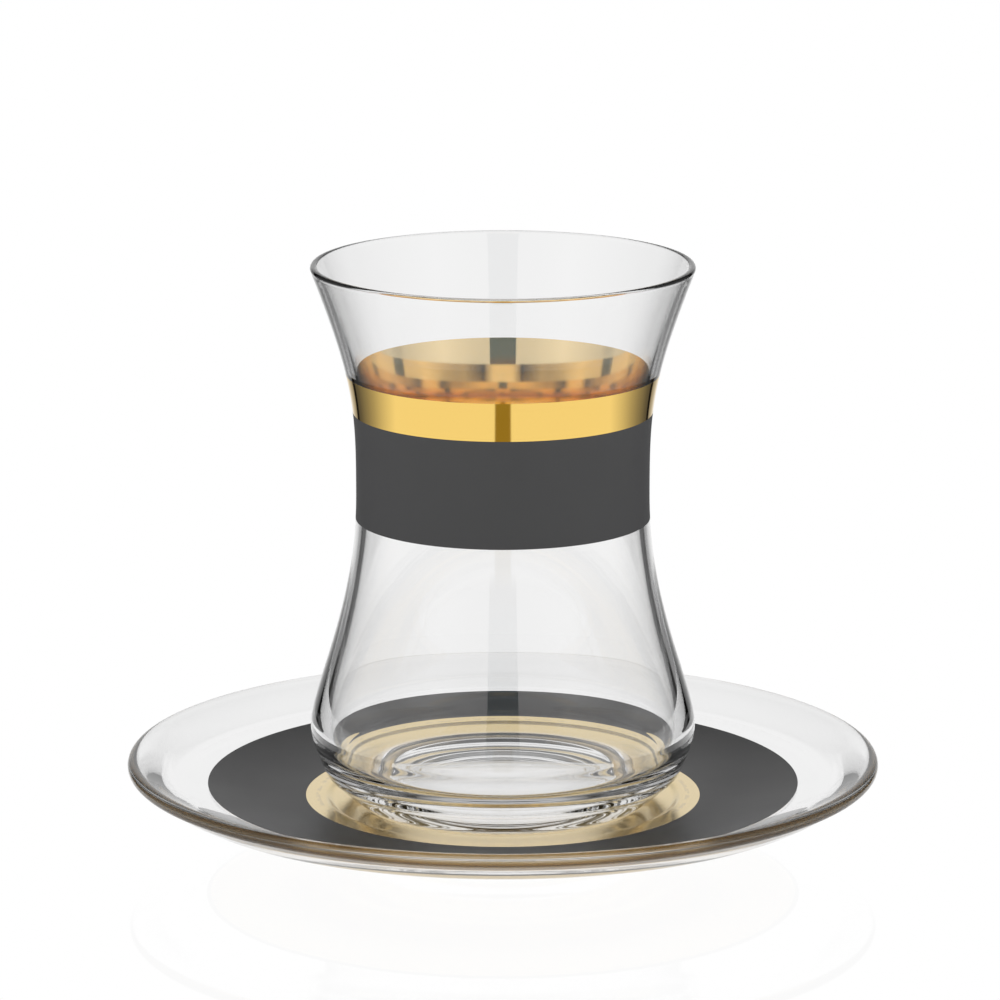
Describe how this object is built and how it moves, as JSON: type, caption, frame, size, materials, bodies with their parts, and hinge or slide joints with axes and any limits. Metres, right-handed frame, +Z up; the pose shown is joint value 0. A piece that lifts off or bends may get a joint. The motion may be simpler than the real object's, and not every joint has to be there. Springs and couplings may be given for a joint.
{
  "type": "turkish tea glass",
  "caption": "Waisted clear tea glass with a gold and dark grey band, standing on a clear round saucer with a gold and a grey ring.",
  "frame": {"origin": "centre of the saucer's foot ring, on the surface that it stands on", "axes": "+Z up along the common axis of glass and saucer; +X and +Y are level, and the object is round, so both are alike"},
  "size_m": [0.12, 0.12, 0.0941],
  "materials": {
    "clear_glass": "fire polished",
    "gold_lustre": "mirror bright fired gold",
    "grey_enamel": "satin"
  },
  "bodies": {
    "root": {"saucer": "clear_glass", "saucer_gold_ring": "gold_lustre", "saucer_grey_ring": "grey_enamel", "tea_glass": "clear_glass", "glass_gold_band": "gold_lustre", "glass_grey_band": "grey_enamel"}
  },
  "joints": []
}
